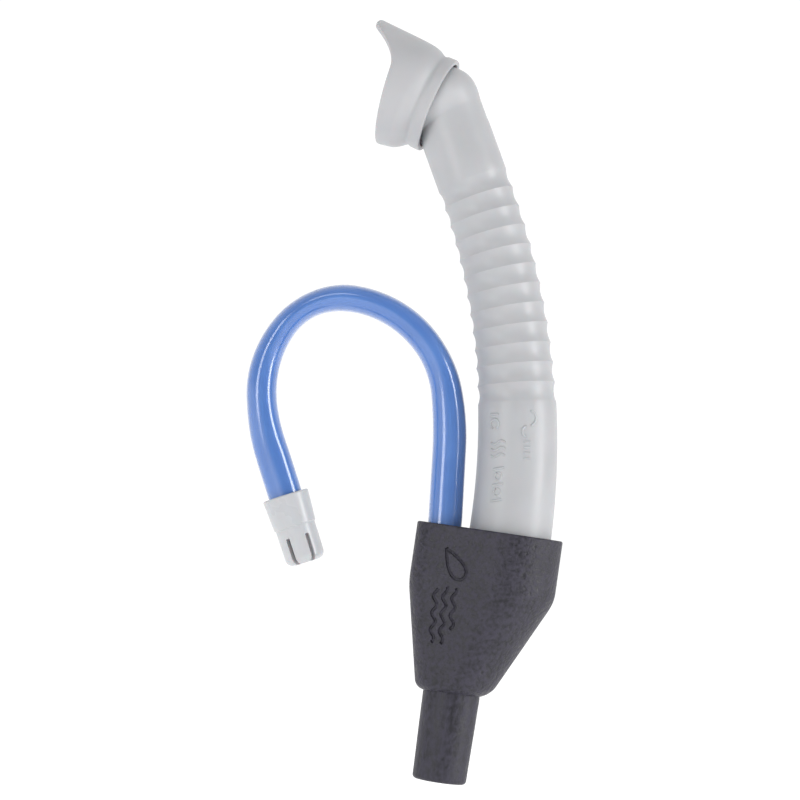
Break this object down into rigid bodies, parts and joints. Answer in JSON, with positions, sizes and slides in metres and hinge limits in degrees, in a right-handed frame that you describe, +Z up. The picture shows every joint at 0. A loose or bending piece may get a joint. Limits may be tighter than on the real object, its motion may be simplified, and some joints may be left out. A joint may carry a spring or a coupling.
{
  "type": "dental suction adapter with saliva ejector",
  "caption": "Two-way dental suction adapter holding a bendable saliva ejector with a slotted tip and a ribbed, curved suction cannula with a swivelling flared shield.",
  "frame": {"origin": "centre of the outlet spigot's lower end, where the suction hose arrives", "axes": "+Z up along the spigot, out of the hose; the ejector arches towards -X; +Y is away from the viewer of the pictured side"},
  "size_m": [0.0664, 0.0265, 0.1486],
  "materials": {
    "housing_charcoal": "fine spark-eroded grain",
    "spigot_black": "fine drawn grain",
    "seal_rubber": "smooth",
    "cannula_grey": "satin",
    "ejector_blue": "clear tinted gloss",
    "wire_brass": "drawn wire",
    "tip_white": "semi-gloss"
  },
  "bodies": {
    "spigot": {"outlet_spigot": "spigot_black", "spigot_seal": "seal_rubber"},
    "housing": {"adapter_housing": "housing_charcoal"},
    "cannula_grip": {"cannula_seal": "seal_rubber"},
    "cannula": {"cannula_tube": "cannula_grey"},
    "shield": {"cannula_shield": "cannula_grey"},
    "ejector_grip": {"ejector_seal": "seal_rubber"},
    "riser": {"tube_riser": "ejector_blue", "wire_riser": "wire_brass"},
    "rear_arch": {"tube_rear_arch": "ejector_blue", "wire_rear_arch": "wire_brass"},
    "front_arch": {"tube_front_arch": "ejector_blue", "wire_front_arch": "wire_brass"},
    "drop": {"tube_drop": "ejector_blue", "wire_drop": "wire_brass", "ejector_tip": "tip_white"}
  },
  "joints": [
    {"name": "housing_swivel", "type": "hinge", "parent": "spigot", "child": "housing", "pos_m": [0, 0, 0.022], "axis": [0, 0, 1], "continuous": true},
    {"name": "cannula_turn", "type": "hinge", "parent": "housing", "child": "cannula_grip", "pos_m": [0.007, 0, 0.0415], "axis": [0, 0, 1], "continuous": true},
    {"name": "cannula_pull", "type": "slide", "parent": "cannula_grip", "child": "cannula", "axis": [0, 0, 1], "range_m": [0, 0.014]},
    {"name": "shield_swivel", "type": "hinge", "parent": "cannula", "child": "shield", "pos_m": [-0.01946, 0.00348, 0.13292], "axis": [-0.9521, 0.1253, 0.279], "continuous": true},
    {"name": "ejector_turn", "type": "hinge", "parent": "housing", "child": "ejector_grip", "pos_m": [-0.0061, 0, 0.0462], "axis": [0, 0, 1], "range_deg": [-75, 75]},
    {"name": "ejector_pull", "type": "slide", "parent": "ejector_grip", "child": "riser", "axis": [0, 0, 1], "range_m": [0, 0.01]},
    {"name": "riser_bend", "type": "hinge", "parent": "riser", "child": "rear_arch", "pos_m": [-0.00757, 0, 0.06723], "axis": [0, -1, 0], "range_deg": [-10, 10]},
    {"name": "crest_bend", "type": "hinge", "parent": "rear_arch", "child": "front_arch", "pos_m": [-0.03025, 0, 0.09184], "axis": [0, -1, 0], "range_deg": [-35, 6]},
    {"name": "drop_bend", "type": "hinge", "parent": "front_arch", "child": "drop", "pos_m": [-0.04554, 0, 0.06959], "axis": [0, -1, 0], "range_deg": [-30, 6]}
  ]
}
